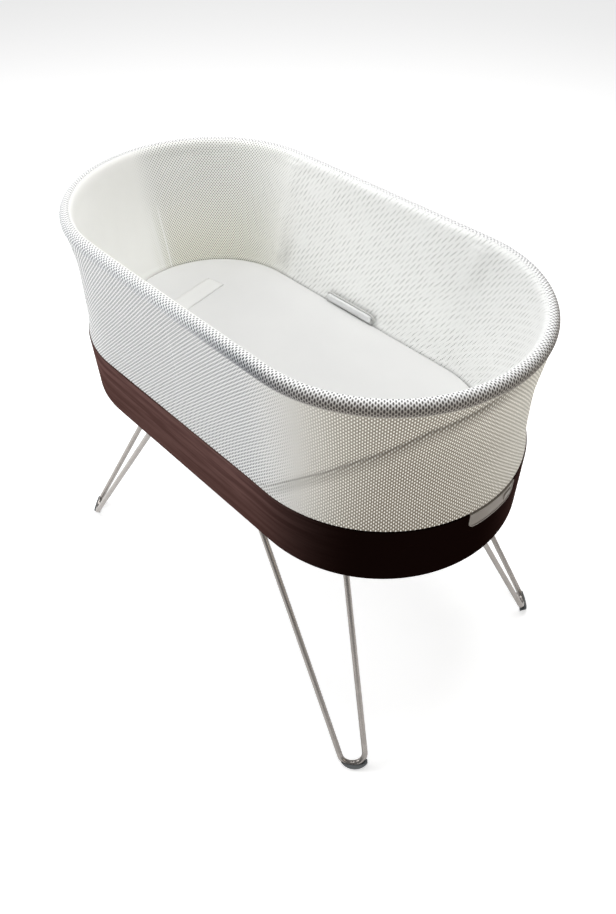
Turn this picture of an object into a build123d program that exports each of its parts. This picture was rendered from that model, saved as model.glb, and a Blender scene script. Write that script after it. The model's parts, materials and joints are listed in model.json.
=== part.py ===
from build123d import *
import os
from math import acos, cos, pi, radians, sin, sqrt, tan

# A bassinet on four hairpin legs.  Millimetres, +Z up, origin on the floor under the middle.
# +X points to the foot end, where the control strip is, and -Y is the near long side.
# Every outline in plan is two straight sides joined by two half circles.

os.makedirs("parts", exist_ok=True)

# Driving dimensions of the basket
HALF_STRAIGHT = 217.0
RIM_CENTRE_R = 227.0
RIM_CENTRE_Z = 777.0
RIM_OUTER = 13.0
MESH_THICK = 1.5
FOAM_OUTER = RIM_OUTER - MESH_THICK - 0.2
HOOP_TUBE_R = 7.0
HOOP_WALL = 1.5

# Wood band
BAND_R = 237.0
BAND_THICK = 9.0
BAND_INNER_R = BAND_R - BAND_THICK
BAND_BOTTOM = 442.0
BAND_TOP = 551.0

# Floor pan inside the band
PAN_R = BAND_INNER_R - 0.1
PAN_SHEET = 1.5
PAN_BOTTOM = 447.5
PAN_TOP = PAN_BOTTOM + PAN_SHEET
PAN_FLANGE_TOP = 462.0

# Mattress, its tray and the skirt of the liner
MATTRESS_R = 170.0
MATTRESS_BOTTOM = 538.0
MATTRESS_TOP = 565.0
TRAY_R = 172.4
TRAY_BOTTOM = 532.5
TRAY_TOP = 536.5
RIB_BOTTOM = 511.5
RIB_THICK = 4.0
SKIRT_INNER_R = 172.6
SKIRT_TOP = 566.3
SKIRT_BOTTOM = 518.0
LINER_BOTTOM = 568.5
LINER_BOTTOM_R = 176.3

# Posts between the floor pan and the rim hoop
POST_R = 6.0
POST_Y = 220.2
POST_PLACES = [(sx * HALF_STRAIGHT, sy * POST_Y) for sx in (-1, 1) for sy in (-1, 1)]

# Pivot, hub and rollers
PIVOT_R = 12.0
PIVOT_SHOULDER_R = 18.0
PIVOT_SHOULDER_TOP = 463.9
PIVOT_TOP = 524.0
BUSH_OUTER_R = 15.0
HUB_R = 20.0
HUB_FLANGE_R = 45.0
HUB_SCREW_R = 36.0
TRACK_R = 140.0
TRACK_WIDTH = 24.0
TRACK_BOTTOM = 509.5
ROLLER_R = 13.0
ROLLER_WIDTH = 10.0
ROLLER_Z = TRACK_BOTTOM - ROLLER_R - 0.05
AXLE_R = 3.0
RUNNING_GAP = 0.06

# Drive: a toothed sector on the hub and a pinion on the motor shaft
MODULE = 1.5
SECTOR_TEETH = 120
PINION_TEETH = 18
BACKLASH = 0.3
SECTOR_PITCH_R = MODULE * SECTOR_TEETH / 2
PINION_PITCH_R = MODULE * PINION_TEETH / 2
MOTOR_X = -(SECTOR_PITCH_R + PINION_PITCH_R)
GEAR_BOTTOM = 494.0
GEAR_THICK = 6.0
MOTOR_R = 21.0
MOTOR_BOTTOM = 452.0
MOTOR_TOP = 489.0

# Hairpin legs: where the two wire ends enter the band, and the middle of the bend at the floor
WIRE_R = 5.4
STUB_A = (150.0, 211.5)
STUB_B = (247.5, 114.0)
STUB_TOP = 500.0
KNEE_Z = 425.0
KNEE_RADIUS = 60.0
FOOT = (432.5, 253.5, 9.4)
BEND_RADIUS = 22.0
BEND_HALF_SPAN = 21.3
SOCKET_WIDTH = 26.0
BOOT_HALF_THICK = 7.0
BOOT_OUTER_R = 27.5
BOOT_DROP = 3.5
BOOT_TOP_R = 59.6
BOOT_TOP_LEVEL = -22.0
BOOT_HALF_WIDTH = 25.0
BOOT_EDGE = 1.2
LATCH_R = 7.0

# Control strip in the foot end of the band
FASCIA_HALF_WIDTH = 51.5
FASCIA_BOTTOM = 519.3
FASCIA_TOP = BAND_TOP - 0.6
FASCIA_CORNER = 13.5
FASCIA_BORDER = 2.4
FASCIA_GAP = 0.3
FASCIA_OUTER_R = BAND_R + 0.6
BUTTON_ANGLE = 8.3
BUTTON_WIDTH = 19.6
BUTTON_HEIGHT = 13.6
BUTTON_Z = 534.5

CORNERS = {"head_near": (-1, -1), "head_far": (-1, 1), "foot_near": (1, -1), "foot_far": (1, 1)}
SIDES = {"near": -1, "far": 1}

# In this section plane x is the distance out from the straight middle line and y is the height
SECTION = Plane(origin=(0, 0, 0), x_dir=(0, -1, 0), z_dir=(-1, 0, 0))


def plan_track(radius, height):
    """Closed line that runs round the basket at one height."""
    with BuildLine(Plane.XY.offset(height)) as line:
        Line((0, -radius), (HALF_STRAIGHT, -radius))
        ThreePointArc((HALF_STRAIGHT, -radius), (HALF_STRAIGHT + radius, 0), (HALF_STRAIGHT, radius))
        Line((HALF_STRAIGHT, radius), (-HALF_STRAIGHT, radius))
        ThreePointArc((-HALF_STRAIGHT, radius), (-HALF_STRAIGHT - radius, 0), (-HALF_STRAIGHT, -radius))
        Line((-HALF_STRAIGHT, -radius), (0, -radius))
    return line.wires()[0]


def plan_outline(radius):
    """Filled plan outline, drawn in the sketch that is open."""
    SlotCenterToCenter(2 * HALF_STRAIGHT, 2 * radius)


def wall_places(radius, height):
    """Locations round the wall whose x axis points straight out."""
    places = []
    for x in (-95, 0, 95):
        places.append(Location((x, -radius, height), (0, 0, -90)))
        places.append(Location((x, radius, height), (0, 0, 90)))
    for angle in (-60, 0, 60):
        reach = HALF_STRAIGHT + radius * cos(radians(angle))
        side = radius * sin(radians(angle))
        places.append(Location((reach, side, height), (0, 0, angle)))
        places.append(Location((-reach, side, height), (0, 0, 180 - angle)))
    return places


def corner_plane(sx, sy, height):
    """Plane between the two wire ends of one leg, x along the line that joins them."""
    middle = ((STUB_A[0] + STUB_B[0]) / 2 * sx, (STUB_A[1] + STUB_B[1]) / 2 * sy, height)
    along = ((STUB_B[0] - STUB_A[0]) * sx, (STUB_B[1] - STUB_A[1]) * sy, 0)
    return Plane(origin=middle, x_dir=along, z_dir=(0, 0, 1))


def leg_line(sx, sy):
    """Centre line of one hairpin leg, from one wire end down round the bend and up to the other."""
    end_a = Vector(STUB_A[0] * sx, STUB_A[1] * sy, STUB_TOP)
    end_b = Vector(STUB_B[0] * sx, STUB_B[1] * sy, STUB_TOP)
    knee_a = Vector(end_a.X, end_a.Y, KNEE_Z)
    knee_b = Vector(end_b.X, end_b.Y, KNEE_Z)
    foot = Vector(FOOT[0] * sx, FOOT[1] * sy, FOOT[2])
    across = (end_b - end_a).normalized() * BEND_HALF_SPAN
    points = [end_a, knee_a, foot - across, foot + across, knee_b, end_b]
    with BuildLine() as line:
        FilletPolyline(*points, radius=(KNEE_RADIUS, BEND_RADIUS, BEND_RADIUS, KNEE_RADIUS))
    return line.wires()[0]


def bend_plane(sx, sy):
    """Plane of the hairpin at the middle of its bend, x along the bend and y up the leg."""
    end_a = Vector(STUB_A[0] * sx, STUB_A[1] * sy, KNEE_Z)
    end_b = Vector(STUB_B[0] * sx, STUB_B[1] * sy, KNEE_Z)
    foot = Vector(FOOT[0] * sx, FOOT[1] * sy, FOOT[2])
    across = (end_b - end_a).normalized()
    up = (end_a + end_b) * 0.5 - foot
    up = (up - across * up.dot(across)).normalized()
    return Plane(origin=foot + up * BEND_RADIUS, x_dir=across, z_dir=across.cross(up))


def flank_angle(radius, teeth):
    """Half of a tooth's angle at one radius, from its involute flank."""
    pitch = MODULE * teeth / 2
    base = pitch * cos(radians(20))
    pressure = acos(min(1.0, base / radius))
    half = pi / (2 * teeth) - BACKLASH / (4 * pitch)
    return half + tan(radians(20)) - radians(20) - (tan(pressure) - pressure)


def tooth_points(centre_angle, teeth, tip_radius, root_radius):
    """Outline of one tooth about the gear's centre, open at the root."""
    base = MODULE * teeth / 2 * cos(radians(20))
    start = max(base, root_radius)
    radii = [start + (tip_radius - start) * step / 5 for step in range(6)]
    side = [(root_radius - 0.5, flank_angle(start, teeth))]
    side = side + [(radius, flank_angle(radius, teeth)) for radius in radii]
    angles = [(radius, centre_angle - turn) for radius, turn in side]
    angles = angles + [(radius, centre_angle + turn) for radius, turn in reversed(side)]
    return [(radius * cos(angle), radius * sin(angle)) for radius, angle in angles]


def fascia_outline(margin, bottom_corner, top):
    """Outline of the control strip, seen along X: square on top, rounded below."""
    half = FASCIA_HALF_WIDTH - margin
    low = FASCIA_BOTTOM + margin
    with BuildLine() as outline:
        Line((-half, top), (half, top))
        Line((half, top), (half, low + bottom_corner))
        RadiusArc((half, low + bottom_corner), (half - bottom_corner, low), bottom_corner)
        Line((half - bottom_corner, low), (-half + bottom_corner, low))
        RadiusArc((-half + bottom_corner, low), (-half, low + bottom_corner), bottom_corner)
        Line((-half, low + bottom_corner), (-half, top))
    return outline.edges()


# Places of the screws that hold things to the floor pan: x, y and the height under the head
ROLLER_ANGLES = (45, 135, 225, 315)
SCREW_PLACES = []
for corner_x, corner_y in CORNERS.values():
    for screw_x in (-36, 36):
        spot = corner_plane(corner_x, corner_y, 0).from_local_coords((screw_x, 8.2, 0))
        SCREW_PLACES.append((spot.X, spot.Y, PAN_TOP + 6))
for roller_angle in ROLLER_ANGLES:
    out_x = cos(radians(roller_angle))
    out_y = sin(radians(roller_angle))
    for aside in (-15.9, 15.9):
        SCREW_PLACES.append((TRACK_R * out_x - aside * out_y, TRACK_R * out_y + aside * out_x, PAN_TOP + 3))
for screw_x in (-26, 26):
    for screw_y in (-26, 26):
        SCREW_PLACES.append((MOTOR_X + screw_x, screw_y, PAN_TOP + 3))
for screw_x in (-18, 18):
    for screw_y in (-18, 18):
        SCREW_PLACES.append((screw_x, screw_y, PAN_TOP + 5))

# ---------------------------------------------------------------- frame: band, pan, rim

# Bent-wood band with a notch for the control strip and pilot holes for its screws
with BuildPart() as wood_band:
    with BuildSketch(Plane.XY.offset(BAND_BOTTOM)):
        plan_outline(BAND_R)
        with BuildSketch(mode=Mode.SUBTRACT):
            plan_outline(BAND_INNER_R)
    extrude(amount=BAND_TOP - BAND_BOTTOM)
    end_edges = wood_band.edges().group_by(Axis.Z)[0] + wood_band.edges().group_by(Axis.Z)[-1]
    chamfer(end_edges, 1.0)
    with BuildSketch(Plane.YZ.offset(HALF_STRAIGHT + 100)):
        make_face(fascia_outline(-FASCIA_GAP, FASCIA_CORNER + FASCIA_GAP, BAND_TOP + 2))
    extrude(amount=200, mode=Mode.SUBTRACT)
    with Locations(*wall_places(BAND_INNER_R, PAN_TOP + 6)):
        Cylinder(2.0, 16, rotation=(0, 90, 0), mode=Mode.SUBTRACT)
wood_band.part.label = "wood_band"
export_step(wood_band.part, "parts/wood_band.step")

# Pressed steel floor pan with an upright flange, leg holes, sound slots and vents
with BuildPart() as floor_pan:
    with BuildSketch(Plane.XY.offset(PAN_BOTTOM)):
        plan_outline(PAN_R)
    extrude(amount=PAN_SHEET)
    with BuildSketch(Plane.XY.offset(PAN_TOP)):
        plan_outline(PAN_R)
        with BuildSketch(mode=Mode.SUBTRACT):
            plan_outline(PAN_R - PAN_SHEET)
    extrude(amount=PAN_FLANGE_TOP - PAN_TOP)
    with BuildSketch(Plane.XY.offset(PAN_BOTTOM)):
        for sx, sy in CORNERS.values():
            with Locations((STUB_A[0] * sx, STUB_A[1] * sy), (STUB_B[0] * sx, STUB_B[1] * sy)):
                Circle(WIRE_R + 1.2)
            latch_spot = corner_plane(sx, sy, 0).origin
            with Locations((latch_spot.X, latch_spot.Y)):
                Circle(LATCH_R + 0.6)
        for x, y, under_head in SCREW_PLACES:
            with Locations((x, y)):
                Circle(2.1)
        with Locations((-380, 0)):
            Circle(6.2)
        with GridLocations(0, 9, 1, 6):
            with Locations((300, 0)):
                SlotOverall(46, 4)
        with GridLocations(60, 10, 2, 4):
            with Locations((-300, 0)):
                SlotOverall(36, 4)
    extrude(amount=PAN_SHEET, mode=Mode.SUBTRACT)
    with Locations(*wall_places(PAN_R, PAN_TOP + 6)):
        Cylinder(2.1, 8, rotation=(0, 90, 0), mode=Mode.SUBTRACT)
floor_pan.part.label = "floor_pan"
export_step(floor_pan.part, "parts/floor_pan.step")

# Pan-head wood screws, through the pan's flange into the band
with BuildPart() as band_screws:
    with Locations(*wall_places(PAN_R - PAN_SHEET - 0.06, PAN_TOP + 6)):
        Cylinder(1.95, 8, rotation=(0, 90, 0), align=(Align.CENTER, Align.CENTER, Align.MIN))
        Cylinder(3.8, 2.4, rotation=(0, -90, 0), align=(Align.CENTER, Align.CENTER, Align.MIN))
band_screws.part.label = "band_screws"
export_step(band_screws.part, "parts/band_screws.step")

# Screws that hold the sockets, brackets, motor and pivot to the pan
with BuildPart() as pan_screws:
    for x, y, under_head in SCREW_PLACES:
        with BuildSketch(Plane.XY.offset(PAN_BOTTOM - 2)):
            with Locations((x, y)):
                Circle(1.95)
        extrude(amount=under_head - PAN_BOTTOM + 2.02)
        with BuildSketch(Plane.XY.offset(under_head + 0.02)):
            with Locations((x, y)):
                Circle(3.7)
        extrude(amount=2.2)
pan_screws.part.label = "pan_screws"
export_step(pan_screws.part, "parts/pan_screws.step")

# Steel tube hoop inside the rim
with BuildPart() as rim_hoop:
    with BuildSketch(SECTION):
        with Locations((RIM_CENTRE_R, RIM_CENTRE_Z)):
            Circle(HOOP_TUBE_R)
            Circle(HOOP_TUBE_R - HOOP_WALL, mode=Mode.SUBTRACT)
    sweep(path=plan_track(RIM_CENTRE_R, RIM_CENTRE_Z))
rim_hoop.part.label = "rim_hoop"
export_step(rim_hoop.part, "parts/rim_hoop.step")

# Four steel posts, coped under the hoop
with BuildPart() as rim_posts:
    with BuildSketch(Plane.XY.offset(PAN_TOP + 0.02)):
        with Locations(*POST_PLACES):
            Circle(POST_R)
    extrude(amount=RIM_CENTRE_Z - PAN_TOP)
    with BuildSketch(SECTION):
        with Locations((RIM_CENTRE_R, RIM_CENTRE_Z)):
            Circle(HOOP_TUBE_R + 0.02)
    sweep(path=plan_track(RIM_CENTRE_R, RIM_CENTRE_Z), mode=Mode.SUBTRACT)
    with BuildSketch(Plane.XY.offset(RIM_CENTRE_Z - 2)):
        plan_outline(RIM_CENTRE_R + 20)
    extrude(amount=10, mode=Mode.SUBTRACT)
rim_posts.part.label = "rim_posts"
export_step(rim_posts.part, "parts/rim_posts.step")

# Foam sleeve round the hoop, notched for the posts
with BuildPart() as rim_foam:
    with BuildSketch(SECTION):
        with Locations((RIM_CENTRE_R, RIM_CENTRE_Z)):
            Circle(FOAM_OUTER)
            Circle(HOOP_TUBE_R + 0.02, mode=Mode.SUBTRACT)
    sweep(path=plan_track(RIM_CENTRE_R, RIM_CENTRE_Z))
    with BuildSketch(Plane.XY.offset(RIM_CENTRE_Z - FOAM_OUTER - 1)):
        with Locations(*POST_PLACES):
            Circle(POST_R + 0.1)
    extrude(amount=FOAM_OUTER + 1, mode=Mode.SUBTRACT)
rim_foam.part.label = "rim_foam"
export_step(rim_foam.part, "parts/rim_foam.step")

# Outer mesh: rolled over the foam, down a slightly waisted wall, turned in on the band's top edge
with BuildPart() as outer_mesh:
    with BuildSketch(SECTION):
        with Locations((RIM_CENTRE_R, RIM_CENTRE_Z)):
            Circle(RIM_OUTER)
            Circle(RIM_OUTER - MESH_THICK, mode=Mode.SUBTRACT)
        with Locations((RIM_CENTRE_R - 1.6, RIM_CENTRE_Z - 20)):
            Rectangle(26.2, 20, align=(Align.CENTER, Align.MIN), mode=Mode.SUBTRACT)
        with BuildLine():
            outer_face = Spline(
                (RIM_CENTRE_R + RIM_OUTER, RIM_CENTRE_Z + 0.5),
                (RIM_CENTRE_R + 10.4, RIM_CENTRE_Z - 35),
                (RIM_CENTRE_R + 8.6, RIM_CENTRE_Z - 95),
                (RIM_CENTRE_R + 8.6, RIM_CENTRE_Z - 160),
                (RIM_CENTRE_R + 9.7, BAND_TOP + 0.1),
            )
            Line(outer_face @ 1, (229, BAND_TOP + 0.1))
            Line((229, BAND_TOP + 0.1), (229, BAND_TOP + 0.1 + MESH_THICK))
            Line((229, BAND_TOP + 0.1 + MESH_THICK), (RIM_CENTRE_R + 8.2, BAND_TOP + 0.1 + MESH_THICK))
            inner_face = Spline(
                (RIM_CENTRE_R + 8.2, BAND_TOP + 0.1 + MESH_THICK),
                (RIM_CENTRE_R + 7.1, RIM_CENTRE_Z - 160),
                (RIM_CENTRE_R + 7.1, RIM_CENTRE_Z - 95),
                (RIM_CENTRE_R + 8.9, RIM_CENTRE_Z - 35),
                (RIM_CENTRE_R + RIM_OUTER - MESH_THICK, RIM_CENTRE_Z + 0.5),
            )
            Line(inner_face @ 1, outer_face @ 0)
        make_face()
    sweep(path=plan_track(RIM_CENTRE_R, RIM_CENTRE_Z))
outer_mesh.part.label = "outer_mesh"
export_step(outer_mesh.part, "parts/outer_mesh.step")

# Inner liner: from the inside of the rim down to the mattress edge
with BuildPart() as inner_liner:
    liner_top_r = RIM_CENTRE_R - RIM_OUTER - 0.05
    with BuildSketch(SECTION):
        with BuildLine():
            Polyline(
                (LINER_BOTTOM_R, LINER_BOTTOM),
                (LINER_BOTTOM_R + MESH_THICK, LINER_BOTTOM),
                (liner_top_r, RIM_CENTRE_Z),
                (liner_top_r - MESH_THICK, RIM_CENTRE_Z),
                close=True,
            )
        make_face()
    sweep(path=plan_track(LINER_BOTTOM_R, LINER_BOTTOM))
inner_liner.part.label = "inner_liner"
export_step(inner_liner.part, "parts/inner_liner.step")

# Angle ring that clamps the turned-in edge of the outer mesh on the band
with BuildPart() as mesh_ring:
    with BuildSketch(SECTION):
        with BuildLine():
            Polyline(
                (226.2, 536),
                (227.9, 536),
                (227.9, BAND_TOP + MESH_THICK + 0.2),
                (233.0, BAND_TOP + MESH_THICK + 0.2),
                (233.0, BAND_TOP + MESH_THICK + 2.2),
                (226.2, BAND_TOP + MESH_THICK + 2.2),
                close=True,
            )
        make_face()
    sweep(path=plan_track(226.2, 536))
    with BuildSketch(Plane.XY.offset(530)):
        with Locations(*POST_PLACES):
            Circle(POST_R + 0.5)
    extrude(amount=40, mode=Mode.SUBTRACT)
    with BuildSketch(Plane.YZ.offset(HALF_STRAIGHT)):
        with Locations((0, 530)):
            Rectangle(112, BAND_TOP + MESH_THICK + 0.1 - 530, align=(Align.CENTER, Align.MIN))
    extrude(amount=300, mode=Mode.SUBTRACT)
mesh_ring.part.label = "mesh_ring"
export_step(mesh_ring.part, "parts/mesh_ring.step")

# ---------------------------------------------------------------- legs

# Cast sockets: two bosses for the wire ends, joined by a web with the latch's boss in its middle
for name, (sx, sy) in CORNERS.items():
    span = sqrt((STUB_B[0] - STUB_A[0]) ** 2 + (STUB_B[1] - STUB_A[1]) ** 2)
    with BuildPart() as leg_socket:
        with BuildSketch(corner_plane(sx, sy, PAN_TOP + 0.02)):
            SlotCenterToCenter(span, SOCKET_WIDTH)
        extrude(amount=6 - 0.02)
        with BuildSketch(corner_plane(sx, sy, PAN_TOP + 0.02)):
            with Locations((-span / 2, 0), (span / 2, 0)):
                Circle(10.5)
        extrude(amount=STUB_TOP + 6 - PAN_TOP)
        with BuildSketch(corner_plane(sx, sy, PAN_TOP + 0.02)):
            Rectangle(span, 6)
        extrude(amount=36)
        with BuildSketch(corner_plane(sx, sy, PAN_TOP + 0.02)):
            Circle(12)
        extrude(amount=29)
        with BuildSketch(corner_plane(sx, sy, PAN_TOP)):
            with Locations((-span / 2, 0), (span / 2, 0)):
                Circle(WIRE_R + RUNNING_GAP)
        extrude(amount=STUB_TOP + 0.05 - PAN_TOP, mode=Mode.SUBTRACT)
        with BuildSketch(corner_plane(sx, sy, PAN_TOP)):
            Circle(LATCH_R + RUNNING_GAP)
        extrude(amount=3, mode=Mode.SUBTRACT)
        with BuildSketch(corner_plane(sx, sy, PAN_TOP + 3)):
            Circle(LATCH_R + 1.6)
        extrude(amount=22, mode=Mode.SUBTRACT)
        with BuildSketch(corner_plane(sx, sy, PAN_TOP)):
            with Locations((-36, 8.2), (36, 8.2)):
                Circle(2.1)
        extrude(amount=8, mode=Mode.SUBTRACT)
    leg_socket.part.label = f"leg_socket_{name}"
    export_step(leg_socket.part, f"parts/leg_socket_{name}.step")

# Latch buttons, pushed up from under the pan to release a leg
for name, (sx, sy) in CORNERS.items():
    with BuildPart() as leg_latch:
        with BuildSketch(corner_plane(sx, sy, PAN_BOTTOM - 4)):
            Circle(LATCH_R)
        extrude(amount=4 + PAN_SHEET + 3.1)
        fillet(leg_latch.edges().group_by(Axis.Z)[0], 1.5)
        with BuildSketch(corner_plane(sx, sy, PAN_TOP + 3.05)):
            Circle(LATCH_R + 1.2)
        extrude(amount=3)
        with BuildSketch(corner_plane(sx, sy, PAN_TOP + 6.05)):
            Circle(4)
        extrude(amount=8)
    leg_latch.part.label = f"leg_latch_{name}"
    export_step(leg_latch.part, f"parts/leg_latch_{name}.step")

# Hairpin legs of round wire
for name, (sx, sy) in CORNERS.items():
    with BuildPart() as hairpin_leg:
        with BuildSketch(Plane(origin=(STUB_A[0] * sx, STUB_A[1] * sy, STUB_TOP), z_dir=(0, 0, -1))):
            Circle(WIRE_R)
        sweep(path=leg_line(sx, sy))
    hairpin_leg.part.label = f"hairpin_leg_{name}"
    export_step(hairpin_leg.part, f"parts/hairpin_leg_{name}.step")

# Rubber boots: a crescent under each bend, hollowed for the wire and flat where it meets the floor
for name, (sx, sy) in CORNERS.items():
    with BuildPart() as foot_boot:
        with BuildSketch(bend_plane(sx, sy)):
            with Locations((0, -BOOT_DROP)):
                Circle(BOOT_OUTER_R)
            with Locations((0, BOOT_TOP_LEVEL + BOOT_TOP_R)):
                Circle(BOOT_TOP_R, mode=Mode.SUBTRACT)
            Rectangle(2 * BOOT_HALF_WIDTH, 4 * BOOT_OUTER_R, mode=Mode.INTERSECT)
        extrude(amount=BOOT_HALF_THICK, both=True)
        rims = foot_boot.edges().filter_by(GeomType.CIRCLE)
        fillet(rims.filter_by(lambda edge: abs(edge.radius - BOOT_OUTER_R) < 0.1), BOOT_EDGE)
        with BuildSketch(Plane(origin=(STUB_A[0] * sx, STUB_A[1] * sy, STUB_TOP), z_dir=(0, 0, -1))):
            Circle(WIRE_R + 0.03)
        sweep(path=leg_line(sx, sy), mode=Mode.SUBTRACT)
        split(bisect_by=Plane.XY, keep=Keep.TOP)
    foot_boot.part.label = f"foot_boot_{name}"
    export_step(foot_boot.part, f"parts/foot_boot_{name}.step")

# ---------------------------------------------------------------- pivot, platform, rollers

# Steel pivot post with a screwed flange and a shoulder
with BuildPart() as pivot_post:
    with BuildSketch(Plane.XY.offset(PAN_TOP + 0.02)):
        RectangleRounded(52, 52, 8)
    extrude(amount=4.98)
    with BuildSketch(Plane.XY.offset(PAN_TOP + 5)):
        Circle(PIVOT_SHOULDER_R - 4)
    extrude(amount=PIVOT_SHOULDER_TOP - PAN_TOP - 5)
    with BuildSketch(Plane.XY.offset(PIVOT_SHOULDER_TOP - 4)):
        Circle(PIVOT_SHOULDER_R)
    extrude(amount=4)
    with BuildSketch(Plane.XY.offset(PIVOT_SHOULDER_TOP)):
        Circle(PIVOT_R)
    extrude(amount=PIVOT_TOP - PIVOT_SHOULDER_TOP)
    with BuildSketch(Plane.XY.offset(PAN_TOP)):
        with GridLocations(36, 36, 2, 2):
            Circle(2.1)
    extrude(amount=5.5, mode=Mode.SUBTRACT)
    with BuildSketch(Plane.XY.offset(PIVOT_TOP - 12)):
        Circle(3)
    extrude(amount=12, mode=Mode.SUBTRACT)
pivot_post.part.label = "pivot_post"
export_step(pivot_post.part, "parts/pivot_post.step")

# Cap with its bolt, which keeps the hub on the post
with BuildPart() as pivot_cap:
    with BuildSketch(Plane.XY.offset(PIVOT_TOP + 0.02)):
        Circle(14.2)
    extrude(amount=2)
    with BuildSketch(Plane.XY.offset(PIVOT_TOP + 2.02)):
        RegularPolygon(6, 6)
    extrude(amount=4)
    with BuildSketch(Plane.XY.offset(PIVOT_TOP - 11)):
        Circle(2.95)
    extrude(amount=11.1)
pivot_cap.part.label = "pivot_cap"
export_step(pivot_cap.part, "parts/pivot_cap.step")

# Plastic bushes between the hub and the post
with BuildPart() as hub_bushes:
    with BuildSketch(Plane.XY.offset(PIVOT_SHOULDER_TOP + 0.1)):
        Circle(PIVOT_SHOULDER_R)
        Circle(PIVOT_R + RUNNING_GAP, mode=Mode.SUBTRACT)
    extrude(amount=2)
    for bush_bottom in (PIVOT_SHOULDER_TOP + 2.1, PIVOT_TOP - 20):
        with BuildSketch(Plane.XY.offset(bush_bottom)):
            Circle(BUSH_OUTER_R)
            Circle(PIVOT_R + RUNNING_GAP, mode=Mode.SUBTRACT)
        extrude(amount=18)
hub_bushes.part.label = "hub_bushes"
export_step(hub_bushes.part, "parts/hub_bushes.step")

# Cast hub under the tray
with BuildPart() as platform_hub:
    with BuildSketch(Plane.XY.offset(PIVOT_SHOULDER_TOP + 2.12)):
        Circle(HUB_R)
    extrude(amount=TRAY_BOTTOM - PIVOT_SHOULDER_TOP - 2.14)
    with BuildSketch(Plane.XY.offset(GEAR_BOTTOM + GEAR_THICK + 0.02)):
        Circle(32)
    extrude(amount=4)
    with BuildSketch(Plane.XY.offset(TRAY_BOTTOM - 8)):
        Circle(HUB_FLANGE_R)
    extrude(amount=7.98)
    with BuildSketch(Plane.XY.offset(GEAR_BOTTOM + GEAR_THICK + 2)):
        with PolarLocations(24, 8):
            Rectangle(14, 4)
    extrude(amount=TRAY_BOTTOM - 6 - GEAR_BOTTOM - GEAR_THICK)
    with BuildSketch(Plane.XY.offset(PIVOT_SHOULDER_TOP)):
        Circle(BUSH_OUTER_R + 0.02)
    extrude(amount=80, mode=Mode.SUBTRACT)
    with BuildSketch(Plane.XY.offset(TRAY_BOTTOM - 9)):
        with PolarLocations(HUB_SCREW_R, 4, start_angle=22.5):
            Circle(2.1)
    extrude(amount=10, mode=Mode.SUBTRACT)
platform_hub.part.label = "platform_hub"
export_step(platform_hub.part, "parts/platform_hub.step")

# Moulded mattress tray: a plate with a skirt and crossed ribs
with BuildPart() as mattress_tray:
    with BuildSketch(Plane.XY.offset(TRAY_BOTTOM)):
        plan_outline(TRAY_R)
    extrude(amount=TRAY_TOP - TRAY_BOTTOM)
    with BuildSketch(Plane.XY.offset(SKIRT_BOTTOM)):
        plan_outline(TRAY_R)
        with BuildSketch(mode=Mode.SUBTRACT):
            plan_outline(TRAY_R - RIB_THICK)
    extrude(amount=TRAY_BOTTOM - SKIRT_BOTTOM)
    with BuildSketch(Plane.XY.offset(RIB_BOTTOM)):
        with Locations((0, -110), (0, 110)):
            Rectangle(2 * HALF_STRAIGHT + 160, RIB_THICK)
        with Locations((-300, 0), (-190, 0), (-70, 0), (70, 0), (190, 0), (300, 0)):
            Rectangle(RIB_THICK, 224)
    extrude(amount=TRAY_BOTTOM - RIB_BOTTOM)
    with BuildSketch(Plane.XY.offset(TRAY_BOTTOM)):
        with PolarLocations(HUB_SCREW_R, 4, start_angle=22.5):
            Circle(2.0)
        with GridLocations(110, 0, 6, 1):
            with GridLocations(0, 70, 1, 2):
                SlotOverall(50, 10)
    extrude(amount=TRAY_TOP - TRAY_BOTTOM, mode=Mode.SUBTRACT)
mattress_tray.part.label = "mattress_tray"
export_step(mattress_tray.part, "parts/mattress_tray.step")

# Screws from the hub's flange up into the tray
with BuildPart() as tray_screws:
    with BuildSketch(Plane.XY.offset(TRAY_BOTTOM - 8.02 - 2.4)):
        with PolarLocations(HUB_SCREW_R, 4, start_angle=22.5):
            Circle(3.6)
    extrude(amount=2.4)
    with BuildSketch(Plane.XY.offset(TRAY_BOTTOM - 8.1)):
        with PolarLocations(HUB_SCREW_R, 4, start_angle=22.5):
            Circle(1.9)
    extrude(amount=11.5)
tray_screws.part.label = "tray_screws"
export_step(tray_screws.part, "parts/tray_screws.step")

# Flat steel ring that runs on the rollers
with BuildPart() as track_ring:
    with BuildSketch(Plane.XY.offset(TRACK_BOTTOM)):
        Circle(TRACK_R + TRACK_WIDTH / 2)
        Circle(TRACK_R - TRACK_WIDTH / 2, mode=Mode.SUBTRACT)
    extrude(amount=RIB_BOTTOM - TRACK_BOTTOM)
track_ring.part.label = "track_ring"
export_step(track_ring.part, "parts/track_ring.step")

# Toothed sector on the hub, its middle tooth towards the motor
with BuildPart() as sector_gear:
    with BuildSketch(Plane.XY.offset(GEAR_BOTTOM)):
        Circle(32)
        with BuildLine():
            root_r = SECTOR_PITCH_R - 1.25 * MODULE
            edge = radians(16.5)
            low_corner = (-root_r * cos(edge), -root_r * sin(edge))
            high_corner = (-root_r * cos(edge), root_r * sin(edge))
            Line((0, 0), low_corner)
            ThreePointArc(low_corner, (-root_r, 0), high_corner)
            Line(high_corner, (0, 0))
        make_face()
        for tooth in range(-5, 6):
            with BuildLine():
                turn = pi + 2 * pi * tooth / SECTOR_TEETH
                tip_r = SECTOR_PITCH_R + 0.9 * MODULE
                Polyline(*tooth_points(turn, SECTOR_TEETH, tip_r, root_r), close=True)
            make_face()
        Circle(HUB_R + 0.02, mode=Mode.SUBTRACT)
        with Locations((-58, 0)):
            Circle(9, mode=Mode.SUBTRACT)
    extrude(amount=GEAR_THICK)
sector_gear.part.label = "sector_gear"
export_step(sector_gear.part, "parts/sector_gear.step")

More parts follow.
